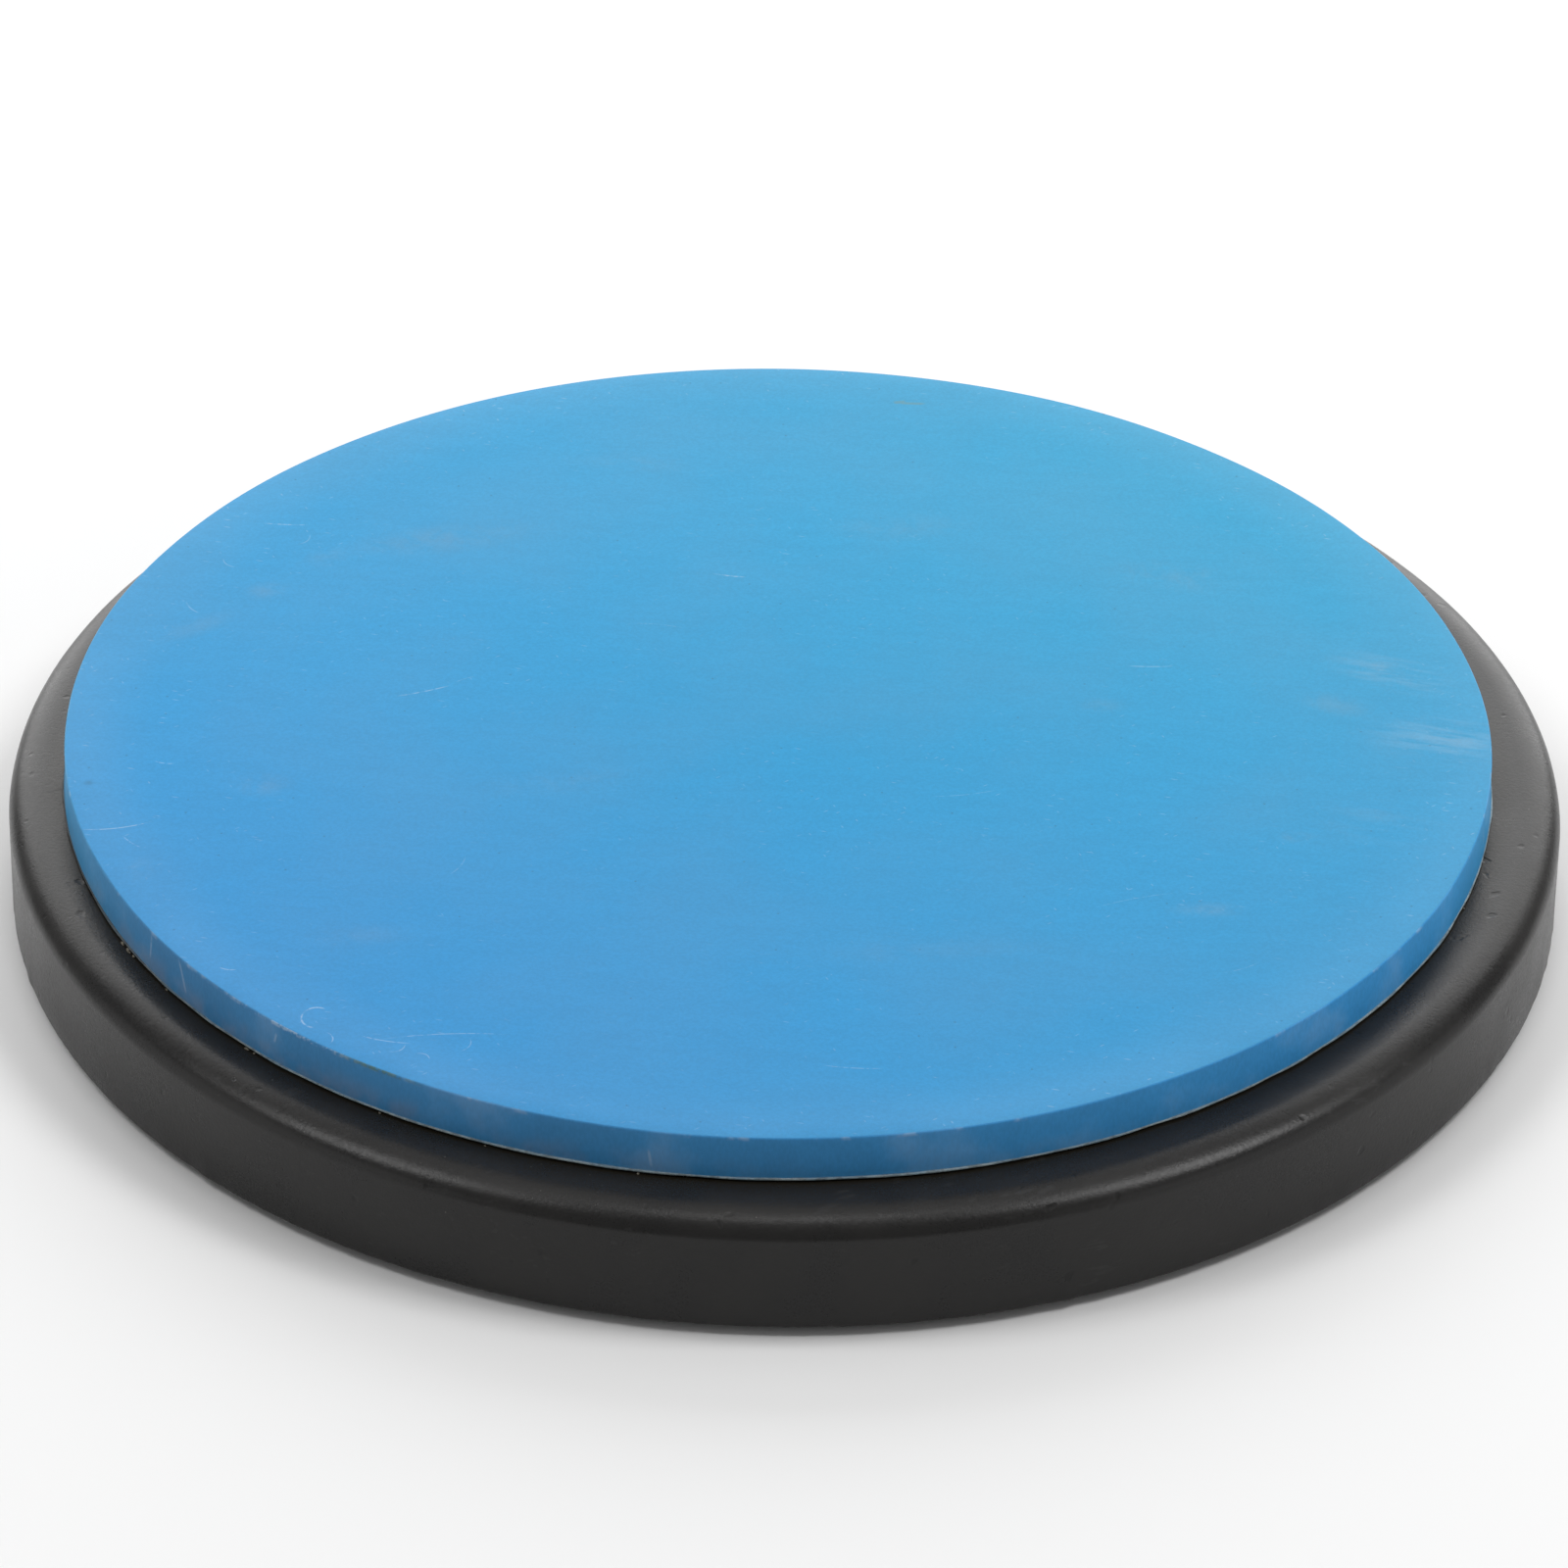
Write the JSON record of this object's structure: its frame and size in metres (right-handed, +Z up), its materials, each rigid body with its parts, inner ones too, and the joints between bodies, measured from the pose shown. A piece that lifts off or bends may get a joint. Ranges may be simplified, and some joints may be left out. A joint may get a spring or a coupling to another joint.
{
  "type": "balance pad",
  "caption": "Round free-standing pad: a dense rubber disc bonded on a rounded moulded base, closed below and standing on screwed rubber feet.",
  "frame": {"origin": "centre of the plane that the feet stand on, on the base shell's axis", "axes": "+Z up out of the rubber face; -Y is the side nearest the viewer, +X to the viewer's right"},
  "size_m": [0.25, 0.25, 0.0281],
  "materials": {
    "pad_rubber": "smooth matte sky-blue dense rubber, faintly mottled, with pale hairline scuffs",
    "bond_film": "thin pale bonding film that shows as a hairline under the rubber",
    "shell_plastic": "semi-matte black moulded plastic with a fine grain",
    "core_wood": "raw pressed-fibre board",
    "plate_plastic": "matte black moulded plate with a light texture",
    "foot_rubber": "matte black moulded rubber",
    "screw_steel": "zinc-plated steel, slightly dull"
  },
  "bodies": {
    "root": {"top_pad": "pad_rubber", "adhesive_sheet": "bond_film", "base_shell": "shell_plastic", "core_board": "core_wood", "bottom_plate": "plate_plastic", "foot_1": "foot_rubber", "foot_2": "foot_rubber", "foot_3": "foot_rubber", "foot_4": "foot_rubber", "foot_5": "foot_rubber", "foot_6": "foot_rubber", "foot_screw_1": "screw_steel", "foot_screw_2": "screw_steel", "foot_screw_3": "screw_steel", "foot_screw_4": "screw_steel", "foot_screw_5": "screw_steel", "foot_screw_6": "screw_steel"}
  },
  "joints": []
}
